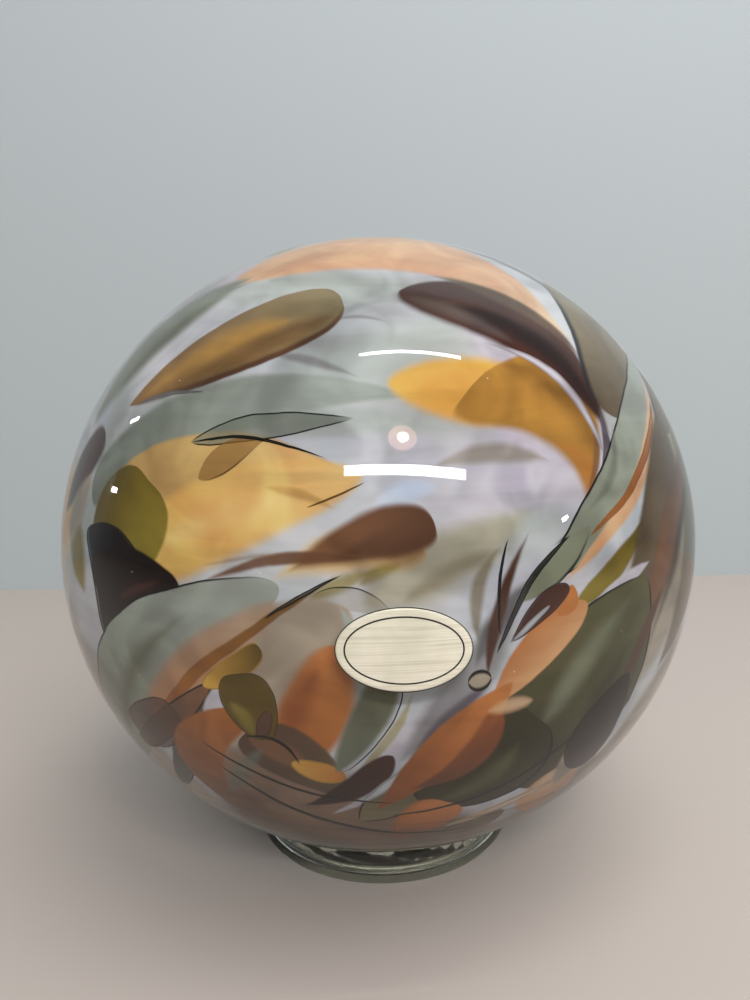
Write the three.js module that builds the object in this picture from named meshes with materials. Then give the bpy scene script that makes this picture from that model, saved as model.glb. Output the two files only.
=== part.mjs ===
// A blown glass float ball resting on a clear glass ring, with an oval foil label on its front.
// Millimetres, +Z up, front towards -Y. The origin is on the table, at the centre of the ring's foot.
import * as THREE from 'three';

// The ball, blown a little wider than it is tall
const BALL_WIDTH = 150;
const BALL_HEIGHT = 145;

// The ring that keeps it from rolling
const RING_HEIGHT = 8.3;
const RING_SEAT_RADIUS = 28.5; // where the rim meets the ball
const RIM_ROUND = 1.6;
const FOOT_OUTER_RADIUS = 31.9;
const FOOT_INNER_RADIUS = 25.2;
const FOOT_OUTER_ROUND = 1.8;
const FOOT_INNER_ROUND = 0.9;
const REST_GAP = 0.3;

// The oval foil label
const LABEL_WIDTH = 23.5;
const LABEL_HEIGHT = 15.1;
const LABEL_THICKNESS = 0.3;
const LABEL_GAP = 0.3;
const LABEL_TO_THE_RIGHT = 4.1; // along the ball from the middle of its front
const LABEL_BELOW_MIDDLE = 1.1;
const LABEL_TILT = THREE.MathUtils.degToRad(-2.5); // its right end hangs a little lower

// Facets
const AROUND = 72;
const BALL_STEPS = 36;
const ROUND_STEPS = 4;
const RIM_STEPS = 8;
const LABEL_AROUND = 48;
const LABEL_RINGS = 4;

const ballRadius = BALL_WIDTH / 2;
const ballHalfHeight = BALL_HEIGHT / 2;

// Turns a half outline of [radius, height] points round the Z axis.
function turned(outline, segments) {
  const points = outline.map(([radius, height]) => new THREE.Vector2(radius, height));
  return new THREE.LatheGeometry(points, segments).rotateX(Math.PI / 2);
}

// Points of an arc, in [radius, height], both ends included.
function arc(centreRadius, centreHeight, round, fromAngle, toAngle, steps) {
  return Array.from({ length: steps + 1 }, (_, i) => {
    const angle = fromAngle + ((toAngle - fromAngle) * i) / steps;
    return [centreRadius + round * Math.cos(angle), centreHeight + round * Math.sin(angle)];
  });
}

// Half the ball's section, from its lowest point to its highest.
function ballOutline() {
  const outline = [[0, -ballHalfHeight]];
  for (let i = 1; i < BALL_STEPS; i++) {
    const rise = -Math.PI / 2 + (Math.PI * i) / BALL_STEPS;
    outline.push([ballRadius * Math.cos(rise), ballHalfHeight * Math.sin(rise)]);
  }
  outline.push([0, ballHalfHeight]);
  return outline;
}

// The centre of the rim's round, measured from the ball's centre: it lies straight out
// from the ball's skin at the seat, with the resting gap between them.
function rimFromBallCentre() {
  const seatHeight = -ballHalfHeight * Math.sqrt(1 - (RING_SEAT_RADIUS / ballRadius) ** 2);
  const outward = new THREE.Vector2(
    RING_SEAT_RADIUS / ballRadius ** 2,
    seatHeight / ballHalfHeight ** 2,
  ).normalize();
  return new THREE.Vector2(RING_SEAT_RADIUS, seatHeight).addScaledVector(outward, REST_GAP + RIM_ROUND);
}

const rimFromCentre = rimFromBallCentre();
const rimHeight = RING_HEIGHT - RIM_ROUND;
const ballCentreHeight = rimHeight - rimFromCentre.y;

// The ring's section, a closed loop: flat foot, rounded corners, a wall that leans in a little, a round rim.
function ringOutline() {
  const right = 0;
  const up = Math.PI / 2;
  const left = Math.PI;
  const down = -Math.PI / 2;
  const outerFoot = arc(
    FOOT_OUTER_RADIUS - FOOT_OUTER_ROUND, FOOT_OUTER_ROUND, FOOT_OUTER_ROUND, down, right, ROUND_STEPS,
  );
  const rim = arc(rimFromCentre.x, rimHeight, RIM_ROUND, right, left, RIM_STEPS);
  const innerFoot = arc(
    FOOT_INNER_RADIUS + FOOT_INNER_ROUND, FOOT_INNER_ROUND, FOOT_INNER_ROUND, left, left + up, ROUND_STEPS,
  );
  const loop = [...outerFoot, ...rim, ...innerFoot];
  loop.push(loop[0]);
  return loop;
}

// A thin oval sheet laid on the ball. It starts as a flat disc of rings, which is stretched
// to the oval, tilted, and bent to the ball's skin.
function labelGeometry() {
  const rings = Array.from({ length: LABEL_RINGS + 1 }, (_, i) => i / LABEL_RINGS);
  const outline = [...rings.map((r) => [r, 0]), ...rings.reverse().map((r) => [r, 1])];
  const disc = turned(outline, LABEL_AROUND);
  const place = disc.getAttribute('position');
  for (let i = 0; i < place.count; i++) {
    const across = (place.getX(i) * LABEL_WIDTH) / 2;
    const upwards = (place.getY(i) * LABEL_HEIGHT) / 2;
    const proud = LABEL_GAP + place.getZ(i) * LABEL_THICKNESS;
    const right = LABEL_TO_THE_RIGHT + across * Math.cos(LABEL_TILT) - upwards * Math.sin(LABEL_TILT);
    const above = across * Math.sin(LABEL_TILT) + upwards * Math.cos(LABEL_TILT) - LABEL_BELOW_MIDDLE;
    const turn = right / ballRadius;
    const rise = above / ballHalfHeight;
    place.setXYZ(
      i,
      (ballRadius + proud) * Math.cos(rise) * Math.sin(turn),
      -(ballRadius + proud) * Math.cos(rise) * Math.cos(turn),
      (ballHalfHeight + proud) * Math.sin(rise),
    );
  }
  return disc;
}

function piece(name, geometry, height, finish) {
  const mesh = new THREE.Mesh(geometry, new THREE.MeshStandardMaterial(finish));
  mesh.name = name;
  mesh.position.z = height;
  return mesh;
}

const floatBall = piece('float_ball', turned(ballOutline(), AROUND), ballCentreHeight, {
  color: '#b9b39c', roughness: 0.03, metalness: 0,
});
const glassRing = piece('glass_ring', turned(ringOutline(), AROUND), 0, {
  color: '#c4ccbe', roughness: 0.03, metalness: 0,
});
const foilLabel = piece('foil_label', labelGeometry(), ballCentreHeight, {
  color: '#d9cfb0', roughness: 0.35, metalness: 0.7,
});

const float = new THREE.Group();
float.add(floatBall, glassRing, foilLabel);

export default float;
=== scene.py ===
import math
import random

import bpy
from mathutils import Matrix, Quaternion, Vector


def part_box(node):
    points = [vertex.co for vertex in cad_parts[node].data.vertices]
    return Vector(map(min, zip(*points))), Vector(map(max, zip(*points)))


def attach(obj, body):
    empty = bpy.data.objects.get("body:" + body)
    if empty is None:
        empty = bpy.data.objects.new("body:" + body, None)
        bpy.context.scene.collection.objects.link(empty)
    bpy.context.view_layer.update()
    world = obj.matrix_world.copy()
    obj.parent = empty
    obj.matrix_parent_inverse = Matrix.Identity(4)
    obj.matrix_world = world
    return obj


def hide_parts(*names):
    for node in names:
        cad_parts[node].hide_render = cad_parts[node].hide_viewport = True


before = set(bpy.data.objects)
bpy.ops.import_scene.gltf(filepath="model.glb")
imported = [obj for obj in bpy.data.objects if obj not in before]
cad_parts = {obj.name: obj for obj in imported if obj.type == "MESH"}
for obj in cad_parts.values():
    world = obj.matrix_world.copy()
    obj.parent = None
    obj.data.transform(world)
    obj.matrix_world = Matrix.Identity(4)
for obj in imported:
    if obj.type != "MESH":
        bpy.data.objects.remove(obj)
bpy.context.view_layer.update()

# The camera: it looks slightly down on the ball from in front, a hand's breadth or two away,
# and leans over a little, as a hand-held one does.
PICTURE_WIDTH, PICTURE_HEIGHT = 750, 1000
FOCAL_PIXELS = 900
CAMERA_RISE = math.radians(14.0)
CAMERA_LEAN = math.radians(-1.2)
BALL_MIDDLE_PIXEL = (378, 538)
OUTLINE_MIDDLE_PIXEL = (378, 544)
BALL_HALF_WIDTH_PIXELS = 317.5
SENSOR_HEIGHT_MM = 36

ball_low, ball_high = (Vector(corner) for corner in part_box("float_ball"))
ball_middle = (ball_low + ball_high) / 2
ball_radii = (ball_high - ball_low) / 2

towards_camera = Vector((0, -math.cos(CAMERA_RISE), math.sin(CAMERA_RISE)))
camera_distance = ball_radii.x / math.sin(math.atan(BALL_HALF_WIDTH_PIXELS / FOCAL_PIXELS))
camera_place = ball_middle + towards_camera * camera_distance
ball_in_view = Vector((
    BALL_MIDDLE_PIXEL[0] - PICTURE_WIDTH / 2, PICTURE_HEIGHT / 2 - BALL_MIDDLE_PIXEL[1], -FOCAL_PIXELS,
))
facing_ball = towards_camera.to_track_quat("Z", "Y") @ Quaternion((0, 0, 1), CAMERA_LEAN)
camera_turn = facing_ball @ ball_in_view.rotation_difference(Vector((0, 0, -1)))

camera = bpy.data.objects.new("camera", bpy.data.cameras.new("camera"))
camera.data.sensor_fit = "VERTICAL"
camera.data.sensor_height = SENSOR_HEIGHT_MM
camera.data.lens = SENSOR_HEIGHT_MM * FOCAL_PIXELS / PICTURE_HEIGHT
camera.data.clip_start = 0.01
camera.matrix_world = Matrix.LocRotScale(camera_place, camera_turn, None)
bpy.context.collection.objects.link(camera)
bpy.context.scene.camera = camera


def sight_line(pixel):
    """The direction from the camera through a pixel of the picture."""
    across, down = pixel[0] - PICTURE_WIDTH / 2, pixel[1] - PICTURE_HEIGHT / 2
    return (camera_turn @ Vector((across, -down, -FOCAL_PIXELS))).normalized()


# The clear casing: the outer gather of clear glass over the whole ball, blown a little wider than
# it is tall and fire-polished, so that it is smooth all over and bends what is seen through it.
CASING_THICKNESS = 0.003
GLASS_IOR = 1.5
CASING_AROUND = 288
CASING_UP = 144
BALL_WAVER = 0.00012


def ellipsoid(name, middle, radii, around, up, waver=0.0):
    """A smooth closed ball of quads, sunk in places by a faint hand-made waver."""
    points = [middle - Vector((0, 0, radii.z))]
    for row in range(1, up):
        rise = math.pi * (row / up - 0.5)
        for step in range(around):
            turn = 2 * math.pi * step / around
            sway = math.sin(3 * turn + 4 * rise) * math.sin(2 * rise + 1)
            shrink = 1 - waver * (1 + sway) / 2 * math.cos(rise) ** 2 * math.sin(2 * turn) ** 2 / radii.x
            points.append(middle + shrink * Vector((
                radii.x * math.cos(rise) * math.cos(turn),
                radii.y * math.cos(rise) * math.sin(turn),
                radii.z * math.sin(rise),
            )))
    points.append(middle + Vector((0, 0, radii.z)))
    top = len(points) - 1
    faces = []
    for step in range(around):
        after = (step + 1) % around
        faces.append((0, 1 + after, 1 + step))
        faces.append((top, top - around + step, top - around + after))
        for row in range(up - 2):
            start = 1 + row * around
            faces.append((start + step, start + after, start + around + after, start + around + step))
    mesh = bpy.data.meshes.new(name)
    mesh.from_pydata(points, [], faces)
    mesh.polygons.foreach_set("use_smooth", [True] * len(mesh.polygons))
    piece = bpy.data.objects.new(name, mesh)
    bpy.context.collection.objects.link(piece)
    return piece


def node(tree, kind, wires=None, **settings):
    """Adds a shader node. wires maps its inputs to plain values or to the outputs that feed them."""
    made = tree.nodes.new(kind)
    for name, value in settings.items():
        setattr(made, name, value)
    for socket, value in (wires or {}).items():
        if isinstance(value, bpy.types.NodeSocket):
            tree.links.new(value, made.inputs[socket])
        else:
            made.inputs[socket].default_value = value
    return made


def new_material(name):
    """An empty node material with its output."""
    material = bpy.data.materials.new(name)
    material.use_nodes = True
    material.node_tree.nodes.clear()
    return material, material.node_tree, node(material.node_tree, "ShaderNodeOutputMaterial")


def clear_glass(name, tint, roughness, shade):
    """See-through glass. Lamps shine through it, tinted by shade, so that what is behind it is lit."""
    material, tree, output = new_material(name)
    glass = node(tree, "ShaderNodeBsdfPrincipled", {
        "Base Color": (*tint, 1), "Roughness": roughness, "IOR": GLASS_IOR, "Transmission Weight": 1.0,
    })
    lamp_light = node(tree, "ShaderNodeBsdfTransparent", {"Color": (*shade, 1)})
    path = node(tree, "ShaderNodeLightPath")
    mix = node(tree, "ShaderNodeMixShader", {
        0: path.outputs["Is Shadow Ray"], 1: glass.outputs[0], 2: lamp_light.outputs[0],
    })
    tree.links.new(mix.outputs[0], output.inputs["Surface"])
    return material, tree, glass


casing = ellipsoid("clear_casing", ball_middle, ball_radii, CASING_AROUND, CASING_UP, BALL_WAVER)
casing_glass, tree, glass = clear_glass("casing_glass", (1, 1, 1), 0.0, (0.98, 0.98, 0.98))
casing.data.materials.append(casing_glass)
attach(casing, "root")
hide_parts("float_ball")

# The colour layer: milky white glass under the casing, rolled in chips of coloured glass that were
# melted and stretched into petals. The deep ones are soft, and those just under the casing are crisp.
COLOUR_AROUND = 192
COLOUR_UP = 96
colour_radii = ball_radii - Vector((CASING_THICKNESS,) * 3)


def meet_ball(start, direction, radii):
    """Where a line first meets a ball of these radii round the ball's middle, or None."""
    squash = Vector((1 / radii.x, 1 / radii.y, 1 / radii.z))
    from_middle = (start - ball_middle) * squash
    step = direction * squash
    half = from_middle.dot(step) / step.dot(step)
    rest = half * half - (from_middle.dot(from_middle) - 1) / step.dot(step)
    return None if rest < 0 else start + direction * (-half - math.sqrt(rest))


def ball_normal(point, radii):
    """The outward direction of a ball's skin at a point on it."""
    return Vector([(point[i] - ball_middle[i]) / radii[i] ** 2 for i in range(3)]).normalized()


def seen_on_colour(pixel):
    """The place on the colour layer that shows at a pixel through the casing, as a direction from the
    middle in the ball's own roundness. A pixel just outside the ball gives the nearest edge."""
    line = sight_line(pixel)
    skin = meet_ball(camera_place, line, ball_radii)
    if skin is None:
        middle = Vector(OUTLINE_MIDDLE_PIXEL)
        return seen_on_colour(middle + (Vector(pixel) - middle) * 0.99)
    normal = ball_normal(skin, ball_radii)
    inside = line / GLASS_IOR
    lean = -normal.dot(inside)
    inside -= normal * (math.sqrt(1 - (1 / GLASS_IOR ** 2) * (1 - normal.dot(line) ** 2)) - lean)
    place = meet_ball(skin, inside.normalized(), colour_radii) - ball_middle
    return Vector([place[i] / colour_radii[i] for i in range(3)]).normalized()


def glass_colour(red, green, blue):
    """A screen colour from 0 to 255 as the light that the shader works in."""
    return tuple(
        (part / 255 / 12.92) if part < 10.3 else ((part / 255 + 0.055) / 1.055) ** 2.4
        for part in (red, green, blue)
    )


def maths(tree, operation, *values):
    """The result of a Math node."""
    return node(tree, "ShaderNodeMath", dict(enumerate(values)), operation=operation).outputs[0]


def vectors(tree, operation, *values, result="Vector"):
    """The result of a Vector Math node."""
    return node(tree, "ShaderNodeVectorMath", dict(enumerate(values)), operation=operation).outputs[result]


def smooth_step(tree, value, low, high, start=0.0, end=1.0):
    """value eased from start to end as it goes from low to high."""
    return node(tree, "ShaderNodeMapRange", {0: value, 1: low, 2: high, 3: start, 4: end},
                interpolation_type="SMOOTHSTEP", clamp=False).outputs[0]


def blend(tree, share, under, over, way="MIX"):
    """Two colours mixed by share."""
    return node(tree, "ShaderNodeMix", {0: share, 6: under, 7: over}, data_type="RGBA",
                blend_type=way).outputs[2]


def new_group(name, inputs, outputs):
    """An empty node group with named sockets, and its two ends."""
    group = bpy.data.node_groups.new(name, "ShaderNodeTree")
    for way, sockets in (("INPUT", inputs), ("OUTPUT", outputs)):
        for label, kind in sockets:
            group.interface.new_socket(label, in_out=way, socket_type="NodeSocket" + kind)
    return group, node(group, "NodeGroupInput"), node(group, "NodeGroupOutput")


PEAK_FADE = 0.12


def make_petal_group():
    """One petal of coloured glass: how far it covers a place on the ball, and where its dark edge is."""
    group, given, result = new_group(
        "glass_petal",
        (("Place", "Vector"), ("Middle", "Vector"), ("Along", "Vector"), ("Across", "Vector"),
         ("Bend", "Float"), ("Root shape", "Float"), ("Tip shape", "Float"), ("Softness", "Float"),
         ("Edge width", "Float"), ("Edge slope", "Float"), ("Edge level", "Float")),
        (("Cover", "Float"), ("Edge", "Float"), ("Along", "Float"), ("Across", "Float")),
    )
    side = given.outputs
    along = vectors(group, "DOT_PRODUCT", side["Place"], side["Along"], result="Value")
    across = vectors(group, "DOT_PRODUCT", side["Place"], side["Across"], result="Value")
    square = maths(group, "MULTIPLY_ADD", along, along, -1.0)
    straight = maths(group, "MULTIPLY_ADD", square, side["Bend"], across)
    from_root = maths(group, "MAXIMUM", maths(group, "MULTIPLY_ADD", along, 0.5, 0.5), 0.0)
    from_tip = maths(group, "MAXIMUM", maths(group, "SUBTRACT", 1.0, from_root), 0.0)
    root = maths(group, "POWER", from_root, side["Root shape"])
    tip = maths(group, "POWER", from_tip, side["Tip shape"])
    half_width = maths(group, "MULTIPLY", root, tip)
    inward = maths(group, "SUBTRACT", half_width, maths(group, "ABSOLUTE", straight))
    facing = vectors(group, "DOT_PRODUCT", side["Place"], side["Middle"], result="Value")
    near = maths(group, "GREATER_THAN", facing, 0.0)
    cover = maths(group, "MULTIPLY", smooth_step(group, inward, 0.0, side["Softness"]), near)
    depth = maths(group, "DIVIDE", inward, side["Edge width"])
    rim = maths(group, "MULTIPLY", smooth_step(group, depth, -0.35, 0.1),
                smooth_step(group, depth, 0.45, 1.25, 1.0, 0.0))
    rim = maths(group, "MULTIPLY", rim, smooth_step(group, half_width, 0.0, PEAK_FADE))
    chosen_side = smooth_step(
        group, maths(group, "MULTIPLY_ADD", straight, side["Edge slope"], side["Edge level"]), 0.0, 1.0)
    edge = maths(group, "MULTIPLY", maths(group, "MULTIPLY", rim, chosen_side), near)
    for label, value in (("Cover", cover), ("Edge", edge), ("Along", from_root), ("Across", straight)):
        group.links.new(value, result.inputs[label])
    return group


def make_place_group():
    """Where a point lies on the ball, with the slow and fast waver of glass that was turned while soft."""
    group, given, result = new_group("wavering_place", (), (("True place", "Vector"), ("Place", "Vector")))
    from_middle = vectors(
        group, "SUBTRACT", node(group, "ShaderNodeTexCoord").outputs["Object"], tuple(ball_middle))
    true_place = vectors(group, "DIVIDE", from_middle, tuple(colour_radii))
    place = true_place
    for scale, detail, waver in ((2.6, 1.0, SLOW_WAVER), (11.0, 2.0, FAST_WAVER)):
        sway = node(group, "ShaderNodeTexNoise", {"Vector": true_place, "Scale": scale, "Detail": detail})
        place = vectors(group, "ADD", place, vectors(
            group, "MULTIPLY_ADD", sway.outputs["Color"], (waver,) * 3, (-waver / 2,) * 3))
    group.links.new(true_place, result.inputs["True place"])
    group.links.new(place, result.inputs["Place"])
    return group


SLOW_WAVER = 0.035
FAST_WAVER = 0.010
petal_group = make_petal_group()
place_group = make_place_group()

MILK = glass_colour(196, 203, 209)
# Pale blue, used only for a painted reflection on the front of the ball.
PAINTED_REFLECTION_BLUE = glass_colour(190, 206, 226)
LAVENDER = glass_colour(198, 195, 206)
PALE_SAGE = glass_colour(162, 172, 166)
SAGE = glass_colour(132, 138, 116)
DEEP_SAGE = glass_colour(112, 120, 108)
GREY_GREEN = glass_colour(90, 90, 58)
MOSS = glass_colour(50, 46, 16)
OLIVE = glass_colour(92, 74, 14)
YELLOW_OLIVE = glass_colour(138, 124, 46)
GOLD = glass_colour(220, 178, 92)
HONEY = glass_colour(212, 164, 70)
PALE_GOLD = glass_colour(228, 198, 132)
RUSSET_GOLD = glass_colour(176, 140, 84)
AMBER = glass_colour(176, 130, 58)
BROWN_AMBER = glass_colour(134, 94, 40)
PALE_PEACH = glass_colour(218, 190, 158)
PEACH = glass_colour(212, 166, 120)
ORANGE = glass_colour(186, 118, 60)
RUST_ORANGE = glass_colour(170, 102, 42)
RUST = glass_colour(142, 76, 34)
RUSSET = glass_colour(126, 88, 60)
SEPIA = glass_colour(88, 60, 42)
DARK_BROWN = glass_colour(24, 10, 6)
PLUM = glass_colour(70, 38, 28)
PLUM_GREY = glass_colour(88, 78, 90)
DARK_PLUM = glass_colour(32, 14, 10)
SLATE = glass_colour(84, 82, 84)
SMOKE = glass_colour(126, 126, 128)
TAUPE = glass_colour(98, 84, 64)
TAN = glass_colour(142, 106, 76)
KHAKI = glass_colour(130, 119, 88)
PALE_KHAKI = glass_colour(168, 162, 134)
SAND = glass_colour(160, 149, 132)
BEIGE = glass_colour(180, 164, 142)
BLACK_LINE = glass_colour(10, 9, 8)


def make_ground_group():
    """The milky ground, drifting from white to lavender and pale sage, and taupe round the underside."""
    group, given, result = new_group(
        "milky_ground", (("True place", "Vector"), ("Place", "Vector")), (("Colour", "Color"),))
    place, true_place = given.outputs["Place"], given.outputs["True place"]
    drift = node(group, "ShaderNodeTexNoise", {"Vector": place, "Scale": 1.6, "Detail": 2.0}).outputs["Fac"]
    sage = node(group, "ShaderNodeTexNoise", {
        "Vector": true_place, "Scale": 2.3, "Detail": 2.0, "Distortion": 0.6}).outputs["Fac"]
    ground = blend(group, smooth_step(group, drift, 0.35, 0.65), (*MILK, 1), (*LAVENDER, 1))
    ground = blend(group, smooth_step(group, sage, 0.45, 0.7, 0.0, 0.8), ground, (*PALE_SAGE, 1))
    height = node(group, "ShaderNodeSeparateXYZ", {0: place}).outputs["Z"]
    ground = blend(group, smooth_step(group, height, -0.5, -0.85), ground, (*TAUPE, 1))
    group.links.new(ground, result.inputs["Colour"])
    return group


CLOUD_SHARE = 0.4
DARK_CLOUD = (0.2, 0.19, 0.18, 1)
LIGHT_CLOUD = (0.8, 0.8, 0.8, 1)


def make_thread_group():
    """The fine threads and streaks that the turning drew through the colours, and slow clouds."""
    group, given, result = new_group(
        "drawn_threads", (("Place", "Vector"), ("Colour", "Color")), (("Colour", "Color"),))
    place = given.outputs["Place"]
    height = node(group, "ShaderNodeSeparateXYZ", {0: place}).outputs["Z"]
    threads = node(group, "ShaderNodeTexNoise", {
        "Vector": vectors(group, "MULTIPLY", place, (1.2, 1.2, 46.0)), "Scale": 1.0, "Detail": 3.0,
    }).outputs["Fac"]
    share = maths(group, "MULTIPLY", smooth_step(group, threads, 0.52, 0.7),
                  smooth_step(group, height, -0.35, -0.8, 0.03, 0.6))
    colour = blend(group, share, given.outputs["Colour"], (*glass_colour(90, 80, 66), 1), "MULTIPLY")
    leaning = node(group, "ShaderNodeMapping", {
        "Vector": place, "Rotation": (0.0, math.radians(-32), 0.0), "Scale": (1.6, 1.6, 13.0)})
    streaks = node(group, "ShaderNodeTexNoise", {"Vector": leaning.outputs[0], "Scale": 1.0, "Detail": 4.0,
                                                 "Distortion": 0.4}).outputs["Fac"]
    colour = blend(group, smooth_step(group, streaks, 0.42, 0.75, 0.0, 0.35), colour,
                   (*glass_colour(196, 190, 184), 1), "MULTIPLY")
    cloud = node(group, "ShaderNodeTexNoise", {
        "Vector": place, "Scale": 4.2, "Detail": 2.0, "Distortion": 0.9}).outputs["Fac"]
    lights_and_darks = blend(group, smooth_step(group, cloud, 0.3, 0.7), DARK_CLOUD, LIGHT_CLOUD)
    colour = blend(group, CLOUD_SHARE, colour, lights_and_darks, "OVERLAY")
    group.links.new(colour, result.inputs["Colour"])
    return group


ground_group = make_ground_group()
thread_group = make_thread_group()
POINTED, LEAF, ROUND, BLUNT = 1.0, 0.75, 0.5, 0.3
PETAL_MARGIN = 0.07
CRISP = 2
RIM_PIXELS = 1.6
RIM_SHADE = 0.6
petals = []


def lay_petal(start, middle, end, half_width, shapes, colours, soft, cover, edge, edge_side,
              edge_colour, way):
    """Lays one petal on the ground. start, middle and end are directions on the ball, and half_width,
    soft and edge are measured on it."""
    facing = (start + end).normalized()
    along = (end - start).normalized()
    across = facing.cross(along)
    half_length = (end - start).length / 2
    share = middle.dot(along) / half_length
    fullest = shapes[0] / (shapes[0] + shapes[1])
    peak = fullest ** shapes[0] * (1 - fullest) ** shapes[1]
    scale = peak / half_width
    bend = middle.dot(across) / max(1 - share * share, 0.2) * scale
    petals.append({
        "facing": facing,
        "reach": max((start - facing).length, (middle - facing).length + half_width) + PETAL_MARGIN,
        "sockets": {
            "Middle": tuple(facing), "Along": tuple(along / half_length), "Across": tuple(across * scale),
            "Bend": bend, "Root shape": shapes[0], "Tip shape": shapes[1],
            "Softness": max(soft * scale, 0.01), "Edge width": max(edge * scale, 0.01),
            "Edge slope": 2.5 * edge_side, "Edge level": 1.0 - abs(edge_side),
        },
        "colours": colours, "cover": cover, "edge_colour": edge_colour if edge else None,
        "fade": "Along" if way == "along" else "Across", "peak": peak,
    })


def melt_in(tree, place, ground, petal):
    """Melts a petal into the colour that is under it."""
    made = node(tree, "ShaderNodeGroup", {"Place": place, **petal["sockets"]}, node_tree=petal_group)
    share = maths(tree, "MULTIPLY", made.outputs["Cover"], petal["cover"])
    first, last = petal["colours"]
    ground = blend(tree, share, ground, (*first, 1))
    if first != last:
        fade = made.outputs["Along"]
        if petal["fade"] == "Across":
            fade = maths(tree, "MULTIPLY_ADD", made.outputs["Across"], 0.5 / petal["peak"], 0.5)
        ground = blend(tree, maths(tree, "MULTIPLY", share, fade), ground, (*last, 1))
    if petal["edge_colour"]:
        ground = blend(tree, made.outputs["Edge"], ground, (*petal["edge_colour"], 1))
    return ground


def petal(root, through, tip, width, colours, shapes=(LEAF, LEAF), soft=3, cover=1.0, edge=0, side=0,
          edge_colour=BLACK_LINE, way="along"):
    """A petal on the front, by the pixels where its root, middle and tip show. width, soft and edge are
    in pixels too. side is 1 for a dark edge to the left of the way from root to tip, and -1 for the right."""
    ends = [seen_on_colour(pixel) for pixel in (root, through, tip)]
    run = (Vector(tip) - Vector(root)).normalized()
    aside = Vector((-run.y, run.x)) * width / 2
    flanks = [seen_on_colour(Vector(through) + aside * way_out) for way_out in (-1, 1)]
    half_width = (flanks[1] - flanks[0]).length / 2
    per_pixel = half_width / (width / 2)
    colours = colours if isinstance(colours[0], tuple) else (colours, colours)
    if not edge and soft <= CRISP:
        edge, edge_colour = RIM_PIXELS, tuple(part * RIM_SHADE for part in colours[0])
    lay_petal(*ends, half_width, shapes, colours, soft * per_pixel, cover, edge * per_pixel, side,
              edge_colour, way)


# The sides, back and top: wide soft sheets, then petals, wound the same way as those of the front
BACK_SHEETS = 12
BACK_PETALS = 36
petal_draw = random.Random(7)
sheet_colours = (
    (BEIGE, SAND), (PALE_SAGE, SAGE), (PALE_GOLD, GOLD), (PALE_PEACH, PEACH), (PALE_KHAKI, KHAKI),
)
back_colours = (
    (AMBER, GOLD), (ORANGE, RUST), (GREY_GREEN, MOSS), (PLUM, DARK_PLUM), (KHAKI, TAUPE), (PEACH, GOLD),
    (SAGE, PALE_SAGE), (OLIVE, YELLOW_OLIVE), (SMOKE, LAVENDER),
)


def lay_hidden_petal(half_length, slimness, lean, colours, soft, edge):
    """Lays a petal somewhere away from the front. slimness is its half width as a share of half_length."""
    turn = math.radians(petal_draw.uniform(78, 282))
    rise = math.asin(petal_draw.uniform(-0.9, 0.95))
    facing = Vector((math.sin(turn) * math.cos(rise), -math.cos(turn) * math.cos(rise), math.sin(rise)))
    east = Vector((0, 0, 1)).cross(facing).normalized()
    heading = math.radians(lean)
    run = east * math.cos(heading) + facing.cross(east) * math.sin(heading)
    aside = facing.cross(run) * half_length * petal_draw.uniform(-0.3, 0.3)
    lay_petal(
        (facing - run * half_length).normalized(), (facing + aside).normalized(),
        (facing + run * half_length).normalized(), half_length * slimness,
        (petal_draw.choice((LEAF, ROUND)), petal_draw.choice((LEAF, ROUND, BLUNT))),
        colours, soft, 0.95, edge, petal_draw.choice((-1, 0, 1)), BLACK_LINE, "along",
    )


for count in range(BACK_SHEETS):
    lay_hidden_petal(petal_draw.uniform(0.45, 0.75), petal_draw.uniform(0.3, 0.5), petal_draw.uniform(15, 45),
                     sheet_colours[count % len(sheet_colours)], petal_draw.uniform(0.08, 0.2), 0)
for count in range(BACK_PETALS):
    lay_hidden_petal(petal_draw.uniform(0.2, 0.55), petal_draw.uniform(0.18, 0.45),
                     petal_draw.uniform(15, 60), back_colours[count % len(back_colours)],
                     petal_draw.choice((0.01, 0.02, 0.08)), 0.008)

# Deep and soft sheets under the rest: taupe and beige round the lower half, sage and lavender above
petal((52, 600), (120, 735), (262, 846), 120, (SAND, BEIGE), (ROUND, ROUND), soft=30, cover=0.75)
petal((180, 735), (320, 812), (500, 842), 96, (TAN, TAUPE), (ROUND, ROUND), soft=22, cover=0.9)
petal((470, 846), (590, 778), (690, 620), 70, (TAUPE, SAND), (ROUND, ROUND), soft=18, cover=0.85)
petal((628, 690), (668, 560), (662, 400), 60, (SAND, KHAKI), (ROUND, ROUND), soft=12, cover=0.9)
petal((430, 236), (510, 256), (586, 322), 26, SMOKE, (LEAF, LEAF), soft=6)
petal((236, 279), (396, 248), (580, 354), 42, (PEACH, PALE_PEACH), (ROUND, POINTED), soft=4)
petal((262, 262), (330, 244), (400, 240), 9, ORANGE, soft=6, cover=0.3)
petal((92, 428), (150, 344), (256, 276), 34, (SAGE, DEEP_SAGE), (LEAF, LEAF), soft=9)
petal((112, 402), (158, 344), (232, 292), 14, GREY_GREEN, (LEAF, LEAF), soft=8, cover=0.7)
petal((262, 372), (334, 330), (404, 292), 70, SMOKE, (LEAF, ROUND), soft=26, cover=0.35)
petal((264, 354), (315, 362), (368, 379), 15, SMOKE, (LEAF, POINTED), soft=6, cover=0.85)
petal((326, 321), (356, 316), (392, 325), 7, SMOKE, soft=4, cover=0.8)
petal((330, 300), (366, 304), (392, 350), 22, SMOKE, soft=14, cover=0.4)
petal((92, 494), (186, 424), (440, 396), 70, (DEEP_SAGE, PALE_SAGE), (BLUNT, POINTED), soft=8, cover=0.95)
petal((220, 432), (330, 420), (460, 430), 46, PALE_SAGE, (LEAF, LEAF), soft=16, cover=0.7)
petal((440, 530), (510, 496), (612, 470), 70, LAVENDER, (LEAF, LEAF), soft=20, cover=0.9)
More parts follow.
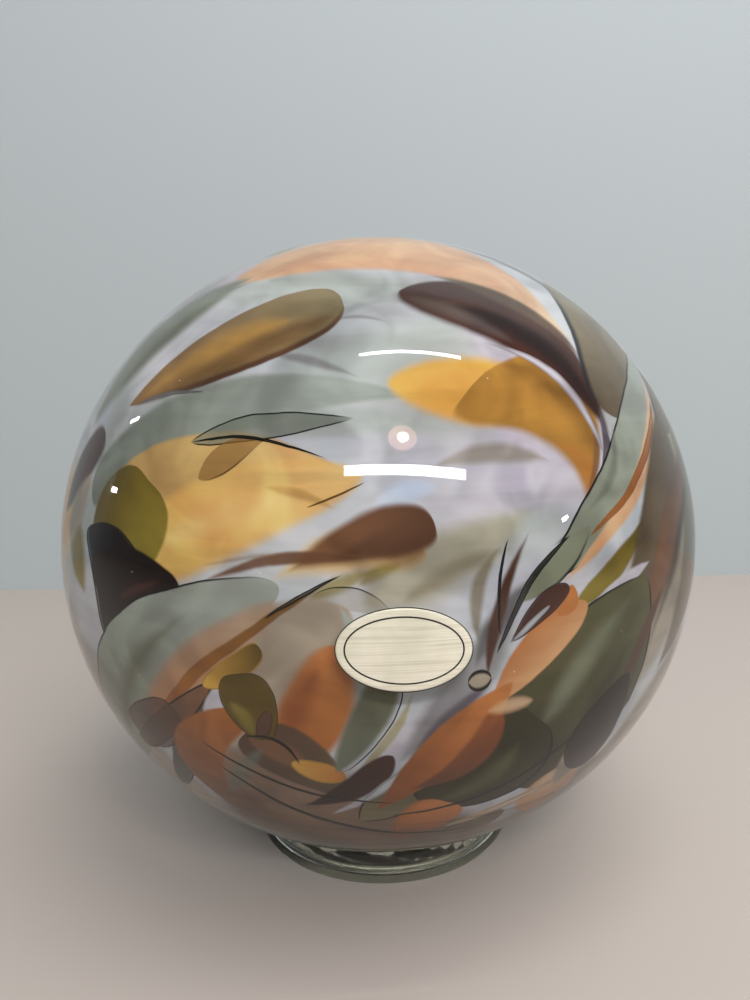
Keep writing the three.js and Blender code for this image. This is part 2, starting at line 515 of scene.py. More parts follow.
# A pale blue patch just below the long strip's bar: a painted reflection.
petal((372, 515), (400, 496), (440, 486), 34, PAINTED_REFLECTION_BLUE, (ROUND, ROUND), soft=12, cover=0.8)
petal((104, 500), (205, 464), (352, 474), 70, (RUSSET_GOLD, PALE_GOLD), (ROUND, LEAF), soft=6)
petal((128, 566), (230, 512), (366, 474), 98, (GOLD, PALE_GOLD), (BLUNT, ROUND), soft=16)
petal((150, 548), (236, 512), (330, 496), 46, PALE_GOLD, (ROUND, ROUND), soft=22, cover=0.7)
petal((262, 489), (300, 495), (340, 512), 16, AMBER, (LEAF, POINTED), soft=6, cover=0.55)
petal((388, 382), (452, 386), (530, 396), 76, (GOLD, HONEY), (ROUND, BLUNT), soft=14)
petal((410, 372), (452, 376), (500, 380), 36, GOLD, (ROUND, ROUND), soft=12, cover=0.9)
petal((430, 470), (492, 452), (552, 462), 30, KHAKI, soft=10, cover=0.6)
petal((360, 606), (440, 566), (540, 508), 84, PALE_KHAKI, (ROUND, LEAF), soft=26, cover=0.75)
petal((402, 604), (452, 574), (520, 548), 30, KHAKI, (ROUND, LEAF), soft=14, cover=0.5)
petal((484, 648), (476, 602), (506, 545), 20, KHAKI, soft=7, cover=0.8)
petal((262, 590), (346, 552), (430, 556), 62, (PALE_GOLD, RUSSET), (POINTED, ROUND), soft=16, cover=0.85)
petal((280, 578), (356, 542), (437, 526), 64, (RUSSET, SEPIA), (POINTED, BLUNT), soft=11)
petal((330, 562), (392, 542), (436, 528), 44, SEPIA, (LEAF, BLUNT), soft=14, cover=0.85)
petal((190, 586), (258, 565), (372, 560), 17, (RUSSET, SEPIA), (POINTED, LEAF), soft=5, cover=0.9)
petal((196, 566), (240, 560), (300, 556), 9, BROWN_AMBER, soft=5, cover=0.5)
petal((356, 590), (374, 578), (404, 566), 22, YELLOW_OLIVE, soft=9, cover=0.75)
petal((296, 612), (330, 590), (384, 572), 26, YELLOW_OLIVE, soft=10, cover=0.8)
petal((300, 606), (346, 600), (396, 620), 24, KHAKI, (LEAF, LEAF), soft=2, cover=0.4, edge=1.5, side=1)
petal((216, 742), (282, 655), (346, 608), 116, (BEIGE, SAND), (ROUND, ROUND), soft=12, cover=0.95)
petal((322, 772), (368, 695), (338, 606), 40, PALE_SAGE, (LEAF, LEAF), soft=5)
petal((284, 766), (318, 704), (332, 644), 84, (RUST_ORANGE, ORANGE), (ROUND, ROUND), soft=14)
petal((272, 756), (296, 710), (316, 664), 44, RUST, (ROUND, ROUND), soft=20, cover=0.8)
petal((376, 778), (424, 722), (480, 676), 30, LAVENDER, soft=8)
petal((352, 778), (392, 734), (412, 690), 13, PALE_KHAKI, soft=4)
petal((398, 764), (458, 696), (520, 590), 54, SMOKE, (LEAF, LEAF), soft=14, cover=0.8)
petal((408, 762), (452, 716), (498, 672), 22, PLUM_GREY, (LEAF, LEAF), soft=8, cover=0.85)
petal((474, 668), (492, 630), (534, 578), 30, SLATE, (LEAF, LEAF), soft=10, cover=0.85)

# The left edge
petal((62, 516), (82, 470), (106, 430), 17, PLUM, (LEAF, BLUNT), soft=3)
petal((72, 562), (78, 510), (95, 470), 17, SAND, soft=5, cover=0.95)
petal((86, 596), (78, 560), (82, 520), 17, YELLOW_OLIVE, soft=5)
petal((70, 580), (90, 680), (150, 770), 34, SAND, soft=9, cover=0.9)
petal((100, 640), (112, 690), (160, 770), 14, MILK, soft=6, cover=0.7)

# Crisp petals of the upper left
petal((129, 404), (238, 341), (344, 298), 54, (BROWN_AMBER, KHAKI), (0.8, 0.36), soft=2, edge=5, side=-1,
      edge_colour=SEPIA)
petal((138, 400), (204, 356), (290, 318), 34, (HONEY, AMBER), (LEAF, ROUND), soft=16, cover=0.45)
petal((180, 384), (250, 350), (336, 312), 30, (BROWN_AMBER, TAUPE), (LEAF, ROUND), soft=14, cover=0.8)
petal((138, 402), (172, 393), (206, 391), 3, SMOKE, soft=2)
petal((192, 440), (264, 427), (357, 417), 25, DEEP_SAGE, (LEAF, POINTED), soft=2, cover=0.75, edge=1.6)
petal((198, 478), (226, 456), (264, 441), 27, BROWN_AMBER, (LEAF, POINTED), soft=1, cover=0.7, edge=1.5,
      side=-1)
petal((192, 440), (262, 440), (332, 460), 3, BLACK_LINE, (LEAF, POINTED), soft=1.5, cover=0.95)
petal((306, 509), (335, 497), (366, 482), 2, BROWN_AMBER, soft=1, cover=0.8)
petal((106, 566), (126, 520), (150, 480), 72, (YELLOW_OLIVE, OLIVE), (BLUNT, BLUNT), soft=3, way="across")
petal((110, 636), (116, 590), (98, 526), 48, DARK_BROWN, (ROUND, BLUNT), soft=3, edge=2)
petal((92, 560), (130, 580), (178, 588), 62, DARK_BROWN, (BLUNT, ROUND), soft=3)
petal((118, 600), (136, 590), (160, 580), 16, PLUM, (ROUND, ROUND), soft=8, cover=0.8)

# Crisp petals of the upper right
petal((468, 388), (552, 396), (590, 502), 90, AMBER, (BLUNT, LEAF), soft=9)
petal((500, 364), (560, 388), (594, 470), 40, BROWN_AMBER, (ROUND, LEAF), soft=16, cover=0.7)
petal((548, 440), (584, 462), (588, 500), 26, ORANGE, (LEAF, ROUND), soft=9, cover=0.5)
petal((588, 404), (596, 450), (584, 502), 9, RUSSET, (LEAF, LEAF), soft=3, cover=0.8)
petal((398, 290), (524, 330), (614, 442), 54, PLUM, (ROUND, POINTED), soft=6)
petal((426, 274), (516, 306), (598, 376), 14, (TAUPE, SEPIA), (LEAF, POINTED), soft=5, cover=0.9)
petal((404, 296), (452, 312), (516, 346), 24, (TAUPE, PLUM_GREY), (ROUND, LEAF), soft=12, cover=0.75)
petal((440, 304), (536, 344), (613, 440), 26, DARK_PLUM, (LEAF, POINTED), soft=10, cover=0.95)
petal((478, 342), (556, 378), (604, 456), 7, LAVENDER, (POINTED, LEAF), soft=2)
petal((598, 404), (608, 462), (550, 548), 13, (PLUM_GREY, SMOKE), (LEAF, POINTED), soft=2, edge=2, side=-1)
petal((508, 268), (572, 326), (612, 408), 20, MILK, soft=3)
petal((540, 280), (604, 340), (616, 418), 32, (KHAKI, TAUPE), (LEAF, ROUND), soft=2, edge=2, side=-1)
petal((626, 352), (634, 452), (544, 582), 40, (PALE_SAGE, SAGE), (LEAF, LEAF), soft=2, edge=1.5)
petal((612, 420), (612, 470), (586, 512), 12, DEEP_SAGE, (LEAF, LEAF), soft=5, cover=0.8)
petal((652, 396), (652, 470), (588, 568), 20, MILK, soft=3)
petal((641, 370), (646, 456), (560, 584), 13, (PALE_PEACH, PEACH), soft=3)
petal((648, 396), (646, 450), (590, 536), 5, (ORANGE, RUST), soft=2)
petal((648, 508), (624, 556), (578, 604), 20, (OLIVE, YELLOW_OLIVE), (POINTED, ROUND), soft=3)
petal((654, 406), (664, 505), (622, 622), 36, TAUPE, (LEAF, LEAF), soft=3, edge=1.5, side=1)
petal((664, 400), (691, 520), (655, 672), 26, (GREY_GREEN, TAUPE), soft=5)
petal((680, 440), (669, 540), (634, 656), 22, (SEPIA, RUSSET), soft=4)
petal((686, 462), (679, 540), (650, 640), 10, DARK_BROWN, soft=5, cover=0.85)
petal((640, 366), (655, 391), (662, 428), 11, TAUPE, (LEAF, BLUNT), soft=2)
petal((592, 524), (562, 560), (524, 600), 26, SAGE, (LEAF, LEAF), soft=2, edge=2.5, side=1)
petal((650, 560), (618, 588), (572, 634), 16, LAVENDER, (LEAF, LEAF), soft=3)

# Crisp petals of the lower left
petal((118, 752), (156, 642), (276, 588), 96, (SAGE, PALE_SAGE), (BLUNT, ROUND), soft=2, edge=2, side=1)
petal((122, 744), (134, 668), (196, 606), 30, GREY_GREEN, (ROUND, LEAF), soft=15, cover=0.7)
petal((150, 716), (176, 656), (240, 604), 26, PALE_SAGE, (ROUND, ROUND), soft=12, cover=0.7)
petal((146, 722), (198, 664), (276, 604), 62, (ORANGE, BEIGE), (ROUND, ROUND), soft=20, cover=0.9)
petal((160, 712), (206, 668), (258, 622), 26, ORANGE, (LEAF, LEAF), soft=12, cover=0.6)
petal((346, 574), (248, 634), (160, 714), 16, (OLIVE, RUST_ORANGE), (LEAF, BLUNT), soft=3, cover=0.95)
petal((344, 575), (300, 598), (262, 622), 4, BLACK_LINE, (POINTED, LEAF), soft=2, cover=0.7)
petal((182, 782), (189, 738), (210, 696), 32, (SLATE, GREY_GREEN), (ROUND, BLUNT), soft=3, edge=2, side=-1)
petal((142, 738), (180, 711), (214, 684), 30, (SEPIA, RUSSET), (BLUNT, ROUND), soft=2, edge=2)
petal((134, 724), (156, 722), (176, 712), 42, SEPIA, (BLUNT, BLUNT), soft=2, cover=0.85)
petal((208, 718), (220, 702), (232, 684), 24, LAVENDER, (ROUND, ROUND), soft=2)
petal((206, 686), (236, 669), (259, 648), 27, (HONEY, OLIVE), (ROUND, BLUNT), soft=2)
petal((246, 708), (198, 752), (276, 826), 38, (RUST_ORANGE, RUSSET), (BLUNT, LEAF), soft=4)
petal((204, 770), (276, 824), (372, 846), 22, (RUSSET, TAUPE), soft=6, cover=0.85)
petal((248, 732), (300, 762), (352, 796), 54, (SEPIA, TAUPE), (BLUNT, LEAF), soft=4)
petal((250, 738), (282, 752), (318, 776), 26, RUSSET, (ROUND, LEAF), soft=6, cover=0.9)
petal((228, 792), (246, 770), (264, 748), 26, DEEP_SAGE, (ROUND, ROUND), soft=9, cover=0.7)
petal((267, 740), (250, 703), (240, 674), 46, OLIVE, (ROUND, BLUNT), soft=2)
petal((256, 736), (246, 716), (232, 700), 20, YELLOW_OLIVE, (ROUND, ROUND), soft=8, cover=0.7)
petal((262, 738), (266, 724), (270, 710), 15, SEPIA, (ROUND, ROUND), soft=2)
petal((292, 762), (322, 772), (346, 778), 20, (HONEY, ORANGE), (ROUND, ROUND), soft=2)
petal((300, 806), (352, 791), (394, 756), 25, (DARK_PLUM, PLUM), (POINTED, ROUND), soft=3)
petal((330, 816), (366, 800), (404, 768), 9, LAVENDER, soft=3, cover=0.9)
petal((336, 772), (364, 728), (388, 672), 44, (DEEP_SAGE, GREY_GREEN), (ROUND, BLUNT), soft=9, edge=1.5,
      side=-1)
petal((246, 736), (282, 742), (300, 764), 3, BLACK_LINE, soft=1.5, cover=0.9)

# Crisp petals of the lower right
petal((362, 822), (398, 800), (436, 774), 34, (KHAKI, GREY_GREEN), (LEAF, ROUND), soft=2, edge=1.5)
petal((362, 804), (385, 788), (412, 766), 8, MILK, soft=2)
petal((646, 574), (596, 672), (522, 788), 100, (GREY_GREEN, MOSS), (LEAF, ROUND), soft=2, edge=2)
petal((634, 590), (584, 664), (540, 728), 34, SAGE, (LEAF, ROUND), soft=16, cover=0.6)
petal((628, 640), (604, 690), (560, 752), 20, MOSS, (LEAF, LEAF), soft=8, cover=0.6)
petal((588, 600), (540, 646), (492, 704), 42, (ORANGE, PEACH), (ROUND, LEAF), soft=3, way="across")
petal((574, 582), (572, 598), (560, 614), 20, ORANGE, (ROUND, ROUND), soft=3)
petal((538, 716), (484, 776), (420, 800), 64, MOSS, (BLUNT, ROUND), soft=2, edge=3)
petal((520, 740), (480, 782), (440, 800), 22, GREY_GREEN, (ROUND, ROUND), soft=10, cover=0.7)
petal((514, 678), (458, 738), (376, 812), 40, (ORANGE, RUST), (LEAF, POINTED), soft=3)
petal((500, 704), (472, 756), (404, 792), 26, (RUST, SEPIA), (ROUND, POINTED), soft=4, cover=0.9)
petal((486, 712), (506, 705), (534, 698), 20, (PEACH, BEIGE), (ROUND, ROUND), soft=8, cover=0.8)
petal((534, 528), (504, 596), (488, 676), 17, (SEPIA, PLUM), (POINTED, LEAF), soft=5)
petal((510, 540), (500, 590), (502, 632), 3, BLACK_LINE, soft=1.5, cover=0.9)
petal((572, 534), (532, 582), (498, 652), 6, BLACK_LINE, soft=2, cover=0.9)
petal((510, 640), (540, 609), (570, 582), 21, PLUM, (POINTED, ROUND), soft=2)
# A thin milky line along the plum capsule's lower left edge: a painted highlight.
petal((514, 636), (530, 622), (552, 602), 5, MILK, soft=2, cover=0.9)
petal((468, 680), (480, 678), (492, 675), 20, SAND, (ROUND, ROUND), soft=1, edge=4)
petal((528, 810), (550, 786), (572, 760), 22, (ORANGE, PALE_PEACH), (ROUND, ROUND), soft=3)
petal((394, 838), (424, 821), (448, 800), 28, (RUST, ORANGE), (LEAF, BLUNT), soft=3)
petal((440, 834), (472, 824), (506, 808), 12, TAUPE, soft=2)
petal((446, 826), (500, 806), (560, 776), 5, PALE_PEACH, soft=2, cover=0.7)
petal((552, 786), (575, 752), (594, 718), 16, SAND, soft=3)
petal((594, 758), (612, 732), (628, 700), 9, MILK, soft=3)
petal((614, 700), (642, 640), (664, 584), 11, SEPIA, soft=3)
petal((576, 768), (600, 722), (628, 672), 30, DARK_PLUM, (ROUND, LEAF), soft=2)
petal((200, 740), (300, 790), (400, 803), 2, BLACK_LINE, soft=1.5, cover=0.6)
petal((390, 816), (490, 790), (580, 730), 2, BLACK_LINE, soft=1.5, cover=0.6)
petal((216, 762), (330, 822), (480, 824), 2, BLACK_LINE, soft=1.5, cover=0.45)

# The layer is finished patch by patch, each with only the petals that reach it
PATCHES = 36
GOLDEN_TURN = math.pi * (3 - math.sqrt(5))


def patch_middle(count):
    """The middle of one of the patches, which are spread evenly over the ball."""
    rise = 1 - 2 * (count + 0.5) / PATCHES
    out = math.sqrt(1 - rise * rise)
    return Vector((out * math.sin(count * GOLDEN_TURN), -out * math.cos(count * GOLDEN_TURN), rise))


def finish_patch(name, points):
    """The material of one patch, from the points of the layer that it covers."""
    material, tree, output = new_material(name)
    where = node(tree, "ShaderNodeGroup", node_tree=place_group)
    sockets = {"True place": where.outputs["True place"], "Place": where.outputs["Place"]}
    ground = node(tree, "ShaderNodeGroup", sockets, node_tree=ground_group).outputs["Colour"]
    for petal in petals:
        if min((point - petal["facing"]).length for point in points) < petal["reach"]:
            ground = melt_in(tree, sockets["Place"], ground, petal)
    threaded = node(
        tree, "ShaderNodeGroup", {"Place": sockets["Place"], "Colour": ground}, node_tree=thread_group)
    glass = node(tree, "ShaderNodeBsdfPrincipled", {
        "Base Color": threaded.outputs["Colour"], "Roughness": 0.5, "Specular IOR Level": 0.0,
    })
    tree.links.new(glass.outputs[0], output.inputs["Surface"])
    return material


colour_layer = ellipsoid("colour_layer", ball_middle, colour_radii, COLOUR_AROUND, COLOUR_UP)
patch_middles = [patch_middle(count) for count in range(PATCHES)]
patch_points = [[] for count in range(PATCHES)]
directions = [
    Vector([(vertex.co[i] - ball_middle[i]) / colour_radii[i] for i in range(3)])
    for vertex in colour_layer.data.vertices
]
for face in colour_layer.data.polygons:
    corners = [directions[index] for index in face.vertices]
    nearest = max(range(PATCHES), key=lambda count: patch_middles[count].dot(corners[0]))
    face.material_index = nearest
    patch_points[nearest] += corners[::2]
for count in range(PATCHES):
    colour_layer.data.materials.append(finish_patch(f"coloured_glass_{count + 1}", patch_points[count][::6]))
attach(colour_layer, "root")

# Seeds: the tiny bubbles that blown glass keeps, between the colour and the clear skin.
SEED_COUNT = 90
SEED_SMALLEST, SEED_LARGEST = 0.00009, 0.00026
seed_draw = random.Random(3)


def joined_piece(name, points, faces):
    """A smooth mesh from its points and faces, placed in the scene."""
    mesh = bpy.data.meshes.new(name)
    mesh.from_pydata(points, [], faces)
    mesh.polygons.foreach_set("use_smooth", [True] * len(mesh.polygons))
    piece = bpy.data.objects.new(name, mesh)
    bpy.context.collection.objects.link(piece)
    return piece


SEED_TIPS = ((1, 0, 0), (0, 1, 0), (0, 0, 1), (-1, 0, 0), (0, -1, 0), (0, 0, -1))
SEED_SIDES = ((0, 1, 2), (1, 3, 2), (3, 4, 2), (4, 0, 2), (1, 0, 5), (3, 1, 5), (4, 3, 5), (0, 4, 5))
seed_points, seed_faces = [], []
for count in range(SEED_COUNT):
    size = seed_draw.uniform(SEED_SMALLEST, SEED_LARGEST)
    way = Vector([seed_draw.gauss(0, 1) for axis in range(3)]).normalized()
    depth = seed_draw.uniform(0.3, 0.7) * CASING_THICKNESS
    middle = ball_middle + Vector([way[i] * (ball_radii[i] - depth) for i in range(3)])
    start = len(seed_points)
    for tip in SEED_TIPS:
        seed_points.append(middle + Vector(tip) * size)
    for east, north, top in SEED_SIDES:
        seed_faces.append((start + east, start + north, start + top))
seeds = joined_piece("seed_bubbles", seed_points, seed_faces)
rounding = seeds.modifiers.new("rounding", "SUBSURF")
rounding.levels = rounding.render_levels = 2
# The bubbles are painted pale grey to near white, mottled: painted glints, where air bubbles in glass shine.
seed_painted_glint, tree, output = new_material("seed_painted_glint")
glint = node(tree, "ShaderNodeTexNoise", {
    "Vector": node(tree, "ShaderNodeTexCoord").outputs["Object"], "Scale": 900.0}).outputs["Fac"]
bubble = node(tree, "ShaderNodeBsdfPrincipled", {
    "Base Color": blend(tree, glint, (0.72, 0.74, 0.75, 1), (0.95, 0.95, 0.93, 1)), "Roughness": 0.12,
})
tree.links.new(bubble.outputs[0], output.inputs["Surface"])
seeds.data.materials.append(seed_painted_glint)
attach(seeds, "root")

# The ring stand: a cut and fire-polished ring of clear glass, slightly green in its thickness. The ball
# rests on its round rim. The inner wall keeps the ripples of its mould, over a small flange at the foot.
RING_AROUND = 240
RING_SEAT_RADIUS = 0.0285
REST_GAP = 0.0003
RIM_ROUND = 0.0016
FOOT_INNER_RADIUS = 0.0252
FOOT_OUTER_ROUND = 0.0018
FOOT_INNER_ROUND = 0.0009
RING_RIPPLE = 0.00018
RISING_RIPPLES, RISING_PITCH = 31, 700
FALLING_RIPPLES, FALLING_PITCH = 19, 1300
INNER_WALL_LEAN = 0.0003
FLANGE_HEIGHT = 0.0026
ring_low, ring_high = (Vector(corner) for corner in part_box("glass_ring"))
foot_radius = (ring_high.x - ring_low.x) / 2
seat_depth = -ball_radii.z * math.sqrt(1 - (RING_SEAT_RADIUS / ball_radii.x) ** 2)
seat = ball_middle + Vector((RING_SEAT_RADIUS, 0, seat_depth))
rim_middle = seat + ball_normal(seat, ball_radii) * (REST_GAP + RIM_ROUND)


def arc(centre_radius, centre_height, round_radius, start, end, steps):
    """Points of an arc in a section, as (distance from the axis, height)."""
    angles = [start + (end - start) * step / steps for step in range(steps + 1)]
    return [
        (centre_radius + round_radius * math.cos(angle), centre_height + round_radius * math.sin(angle))
        for angle in angles
    ]


def ring_section():
    """The ring's section, once round: rounded foot, leaning wall, round rim, rippled inner wall and the
    slope down to the inside of the foot."""
    quarter = math.pi / 2
    outer_foot = arc(foot_radius - FOOT_OUTER_ROUND, FOOT_OUTER_ROUND, FOOT_OUTER_ROUND, -quarter, 0, 8)
    rim = arc(rim_middle.x, rim_middle.z, RIM_ROUND, 0, math.pi, 16)
    inner_foot = arc(
        FOOT_INNER_RADIUS + FOOT_INNER_ROUND, FOOT_INNER_ROUND, FOOT_INNER_ROUND, math.pi, 3 * quarter, 6)
    knee = (rim[-1][0] - INNER_WALL_LEAN, FLANGE_HEIGHT)
    inner_wall = between(rim[-1], knee, 8) + [knee] + between(knee, inner_foot[0], 4)
    return outer_foot + between(outer_foot[-1], rim[0], 4) + rim + inner_wall + inner_foot


def between(start, end, steps):
    """Points on the straight way from one point of a section to another, without its ends."""
    shares = [step / steps for step in range(1, steps)]
    return [tuple(a + (b - a) * share for a, b in zip(start, end)) for share in shares]


section = ring_section()
ring_points, ring_faces = [], []
for step in range(RING_AROUND):
    turn = 2 * math.pi * step / RING_AROUND
    for index, (radius, height_up) in enumerate(section):
        inside = radius < rim_middle.x - RIM_ROUND * 0.9 and height_up > FLANGE_HEIGHT
        rising = math.sin(RISING_RIPPLES * turn + RISING_PITCH * height_up)
        falling = math.sin(FALLING_RIPPLES * turn - FALLING_PITCH * height_up)
        reach = radius + (RING_RIPPLE * rising * falling if inside else 0)
        ring_points.append((reach * math.sin(turn), -reach * math.cos(turn), height_up))
        after = (step + 1) % RING_AROUND
        above = (index + 1) % len(section)
        ring_faces.append((
            step * len(section) + index, after * len(section) + index,
            after * len(section) + above, step * len(section) + above,
        ))
ring = joined_piece("ring_stand", ring_points, ring_faces)
# The inner wall is tinted near black and lets little lamp light through: painted shade, for the dark that
# shows through it from under the ball
ring_glass, tree, glass = clear_glass("ring_glass", (0.9, 0.94, 0.86), 0.02, (0.88, 0.92, 0.86))
inner_wall_painted_shade, tree, glass = clear_glass("ring_inner_wall_painted_shade", (0.012, 0.013, 0.01), 0.08, (0.03, 0.03, 0.03))
ring.data.materials.append(ring_glass)
ring.data.materials.append(inner_wall_painted_shade)
for face in ring.data.polygons:
    inward = face.center.xy.length < rim_middle.x - RIM_ROUND / 2
    face.material_index = int(inward and face.center.z > FLANGE_HEIGHT)
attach(ring, "root")
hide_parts("glass_ring")

# The label: an oval of champagne foil, brushed lengthways, with a low roll round its border, a thin black
# keyline printed inside that, and a thin dark line round its edge that is painted shade. Its field is bare.
# It is stuck to the skin of the ball.
LABEL_HALF_WIDTH, LABEL_HALF_HEIGHT = 0.01175, 0.00755
LABEL_TO_THE_RIGHT, LABEL_BELOW_MIDDLE = 0.0041, 0.0011
LABEL_TILT = math.radians(-2.5)
LABEL_PROUD = 0.00016
LABEL_AROUND = 96
LABEL_RINGS = 12
KEYLINE_INSET = 0.0014
KEYLINE_WIDTH = 0.00028
EDGE_SHADE_WIDTH = 0.00014
BORDER_ROLL = 0.00005
EDGE_DROP, EDGE_ROUND = 0.00008, 0.00025


def on_skin(across, upwards, proud):
    """A point on the label, by its place in the flat oval, laid on the ball."""
    right = LABEL_TO_THE_RIGHT + across * math.cos(LABEL_TILT) - upwards * math.sin(LABEL_TILT)
    above = across * math.sin(LABEL_TILT) + upwards * math.cos(LABEL_TILT) - LABEL_BELOW_MIDDLE
    turn, rise = right / ball_radii.x, above / ball_radii.z
    return ball_middle + Vector((
        (ball_radii.x + proud) * math.cos(rise) * math.sin(turn),
        -(ball_radii.x + proud) * math.cos(rise) * math.cos(turn),
        (ball_radii.z + proud) * math.sin(rise),
    ))


def label_height(inset):
    """How proud the foil stands, at a distance in from its edge: a low roll round the border."""
    roll = math.exp(-((inset - KEYLINE_INSET / 2) / (KEYLINE_INSET / 3)) ** 2)
    return LABEL_PROUD + BORDER_ROLL * roll - EDGE_DROP * max(0, 1 - inset / EDGE_ROUND)


def oval_loop(inset, proud):
    """A loop round the label at a distance in from its edge."""
    wide, high = LABEL_HALF_WIDTH - inset, LABEL_HALF_HEIGHT - inset
    turns = [2 * math.pi * step / LABEL_AROUND for step in range(LABEL_AROUND)]
    return [on_skin(wide * math.cos(turn), high * math.sin(turn), proud) for turn in turns]


def loops_piece(name, loops, closed):
    """A skin through loops of as many points each, closed by a cap or back on the first loop."""
    points = [point for loop in loops for point in loop]
    size = len(loops[0])
    faces = []
    for index in range(len(loops) if closed else len(loops) - 1):
        start, after_loop = index * size, ((index + 1) % len(loops)) * size
        for step in range(size):
            after = (step + 1) % size
            faces.append((start + step, start + after, after_loop + after, after_loop + step))
    if not closed:
        faces.append(tuple(range(size))[::-1])
        faces.append(tuple(range(len(points) - size, len(points))))
    return joined_piece(name, points, faces)


insets = [KEYLINE_INSET * step / 8 for step in range(9)]
insets += [KEYLINE_INSET + (LABEL_HALF_HEIGHT * 0.97 - KEYLINE_INSET) * step / LABEL_RINGS
           for step in range(1, LABEL_RINGS + 1)]
label_loops = [oval_loop(0, 0.00002)] + [oval_loop(inset, label_height(inset)) for inset in insets]
label = loops_piece("foil_label_sheet", label_loops, closed=False)

foil, tree, output = new_material("champagne_foil")
flat_place = node(tree, "ShaderNodeTexCoord").outputs["Object"]
brushing = node(tree, "ShaderNodeTexNoise", {
    "Vector": vectors(tree, "MULTIPLY", flat_place, (60.0, 60.0, 5200.0)), "Scale": 1.0, "Detail": 3.0,
}).outputs["Fac"]
cloud = node(tree, "ShaderNodeTexNoise", {"Vector": flat_place, "Scale": 130.0, "Detail": 2.0}).outputs["Fac"]
foil_tone = blend(tree, smooth_step(tree, cloud, 0.35, 0.65), (*glass_colour(236, 232, 208), 1),
                  (*glass_colour(252, 246, 226), 1))
foil_tone = blend(tree, smooth_step(tree, brushing, 0.45, 0.7, 0.0, 0.35), foil_tone,
                  (*glass_colour(172, 164, 134), 1))
brush_bump = node(tree, "ShaderNodeBump", {"Height": brushing, "Strength": 0.25, "Distance": 0.00003})
sheet = node(tree, "ShaderNodeBsdfPrincipled", {
    "Base Color": foil_tone, "Metallic": 0.2, "Normal": brush_bump.outputs[0],
    "Roughness": smooth_step(tree, brushing, 0.2, 0.8, 0.3, 0.5),
})
tree.links.new(sheet.outputs[0], output.inputs["Surface"])
label.data.materials.append(foil)
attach(label, "root")
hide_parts("foil_label")

LINE_LIFT = 0.00003
FRESH_INK_AND_SHADE = (0.006, 0.006, 0.006, 1)
WORN_INK_AND_SHADE = (0.03, 0.028, 0.025, 1)
# This black paints the printed keyline, and also the painted shade round the label's edge.
ink_and_edge_shade, tree, output = new_material("black_ink_and_edge_shade")
flat_place = node(tree, "ShaderNodeTexCoord").outputs["Object"]
wear_and_shade_mottle = node(tree, "ShaderNodeTexNoise", {"Vector": flat_place, "Scale": 1500.0, "Detail": 2.0}).outputs["Fac"]
line = node(tree, "ShaderNodeBsdfPrincipled", {
    "Base Color": blend(tree, smooth_step(tree, wear_and_shade_mottle, 0.5, 0.8), FRESH_INK_AND_SHADE, WORN_INK_AND_SHADE), "Roughness": 0.5,
})
tree.links.new(line.outputs[0], output.inputs["Surface"])


def dark_line(name, inset, width, low, high):
    """A thin dark line round the label, from one distance in from its edge to another."""
    corners = ((inset, low), (inset, high), (inset + width, high), (inset + width, low))
    line = loops_piece(name, [oval_loop(*corner) for corner in corners], closed=True)
    line.data.materials.append(ink_and_edge_shade)
    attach(line, "root")


dark_line("label_keyline", KEYLINE_INSET, KEYLINE_WIDTH, LABEL_PROUD / 2,
          label_height(KEYLINE_INSET) + LINE_LIFT)
# A thin dark line round the label's outer edge: painted shade, where the foil stands off the ball.
dark_line("label_edge_painted_shade", -EDGE_SHADE_WIDTH, EDGE_SHADE_WIDTH, 0.0, LABEL_PROUD * 0.8)

# The floor and the wall behind: plain and pale.
FLOOR_SIZE = 3.0
WALL_BEHIND = 0.212


def stage_sheet(name, corners, tint):
    """A plain matt sheet of the set, which hides nothing from a camera behind it."""
    mesh = bpy.data.meshes.new(name)
    mesh.from_pydata(corners, [], [(0, 1, 2, 3)])
    sheet = bpy.data.objects.new(name, mesh)
    bpy.context.collection.objects.link(sheet)
    material, tree, output = new_material(name)
    paint = node(tree, "ShaderNodeBsdfPrincipled", {
        "Base Color": (*tint, 1), "Roughness": 0.75, "Specular IOR Level": 0.2,
    })
    seen_from_behind = maths(
        tree, "MULTIPLY", node(tree, "ShaderNodeNewGeometry").outputs["Backfacing"],
        node(tree, "ShaderNodeLightPath").outputs["Is Camera Ray"])
    open_side = node(tree, "ShaderNodeBsdfTransparent")
    mix = node(tree, "ShaderNodeMixShader", {
        0: seen_from_behind, 1: paint.outputs[0], 2: open_side.outputs[0],
    })
    tree.links.new(mix.outputs[0], output.inputs["Surface"])
    mesh.materials.append(material)


half = FLOOR_SIZE / 2
stage_sheet("floor", [(-half, -half, 0), (half, -half, 0), (half, WALL_BEHIND, 0), (-half, WALL_BEHIND, 0)],
            glass_colour(196, 186, 178))
stage_sheet("wall", [(-half, WALL_BEHIND, 0), (half, WALL_BEHIND, 0), (half, WALL_BEHIND, half),
                     (-half, WALL_BEHIND, half)], glass_colour(190, 198, 200))

# The lamps: two strips that show as bright bars on the ball, a small warm bulb with its glow, three small
# glints, a wide soft panel above, and an even sky.
STRIP_DISTANCE = 0.9


def mirrored(pixel):
    """Where the ball is met at a pixel, and the way that it mirrors from there."""
    line = sight_line(pixel)
    skin = meet_ball(camera_place, line, ball_radii)
    normal = ball_normal(skin, ball_radii)
    return skin, line - 2 * normal.dot(line) * normal


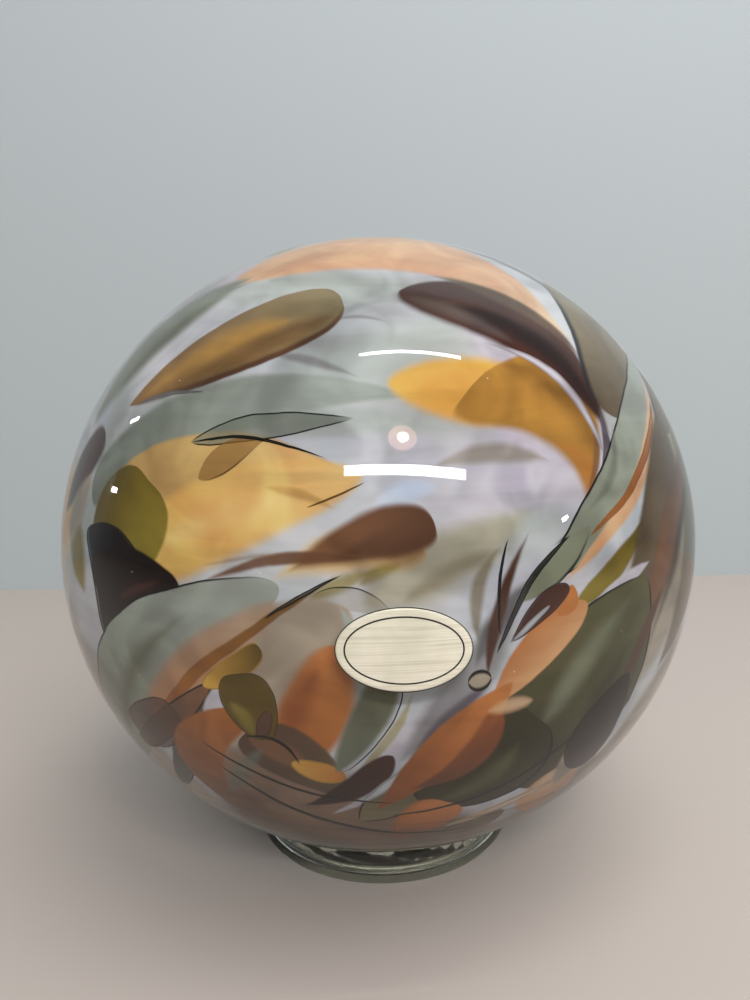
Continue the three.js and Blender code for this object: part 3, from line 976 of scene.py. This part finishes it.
def strip_lamp(name, left_pixel, right_pixel, depth, distance, brightness, tint=(1, 1, 1), shape="RECTANGLE"):
    """A lamp that shows on the ball as a bar between two pixels."""
    ends = [skin + way * distance for skin, way in (mirrored(left_pixel), mirrored(right_pixel))]
    data = bpy.data.lights.new(name, "AREA")
    data.shape = shape
    data.size = (ends[1] - ends[0]).length
    data.size_y = depth
    data.energy = brightness * math.pi * data.size * data.size_y
    data.color = tint
    lamp = bpy.data.objects.new(name, data)
    middle = (ends[0] + ends[1]) / 2
    back = (middle - ball_middle).normalized()
    side = (ends[1] - ends[0]).normalized()
    up = back.cross(side).normalized()
    side = up.cross(back)
    lamp.matrix_world = Matrix.Translation(middle) @ Matrix((side, up, back)).transposed().to_4x4()
    lamp.visible_transmission = False
    bpy.context.collection.objects.link(lamp)


strip_lamp("long_strip", (344, 471), (466, 475), 0.057, STRIP_DISTANCE, 28)
strip_lamp("far_strip", (359, 355), (461, 358), 0.026, STRIP_DISTANCE * 1.3, 26)
strip_lamp("warm_bulb", (397, 437), (409, 437), 0.05, STRIP_DISTANCE, 20, (1.0, 0.86, 0.72), "DISK")
strip_lamp("warm_glow", (388, 438), (417, 438), 0.13, STRIP_DISTANCE * 1.05, 5, (1.0, 0.5, 0.34), "DISK")
strip_lamp("small_glint_1", (130, 422), (139, 418), 0.003, 0.16, 30)
strip_lamp("small_glint_2", (107, 487), (117, 490), 0.02, STRIP_DISTANCE, 30)
strip_lamp("small_glint_3", (562, 521), (568, 517), 0.02, STRIP_DISTANCE, 30)

PANEL_SIZE = 0.5
PANEL_PLACE = Vector((0.22, -0.16, 0.62))
PANEL_BRIGHTNESS = 2.7
panel = bpy.data.objects.new("ceiling_panel", bpy.data.lights.new("ceiling_panel", "AREA"))
panel.data.size = PANEL_SIZE
panel.data.energy = PANEL_BRIGHTNESS * math.pi * PANEL_SIZE ** 2
panel.location = PANEL_PLACE
panel.rotation_euler = (PANEL_PLACE - ball_middle).to_track_quat("Z", "Y").to_euler()
panel.visible_glossy = panel.visible_transmission = False
bpy.context.collection.objects.link(panel)

SKY_TINT = (0.86, 0.9, 0.94, 1)
SKY_BRIGHTNESS = 0.42
MIRRORED_SKY_BRIGHTNESS = 0.2
world = bpy.data.worlds.new("soft_sky")
world.use_nodes = True
sky = world.node_tree
room = sky.nodes["Background"]
room.inputs["Color"].default_value = SKY_TINT
room.inputs["Strength"].default_value = SKY_BRIGHTNESS
mirrored_room = node(sky, "ShaderNodeBackground", {"Color": SKY_TINT, "Strength": MIRRORED_SKY_BRIGHTNESS})
mirror_ray = node(sky, "ShaderNodeLightPath").outputs["Is Glossy Ray"]
sky_mix = node(sky, "ShaderNodeMixShader", {0: mirror_ray, 1: room.outputs[0], 2: mirrored_room.outputs[0]})
sky.links.new(sky_mix.outputs[0], sky.nodes["World Output"].inputs["Surface"])
bpy.context.scene.world = world
bpy.context.scene.view_settings.view_transform = "Standard"
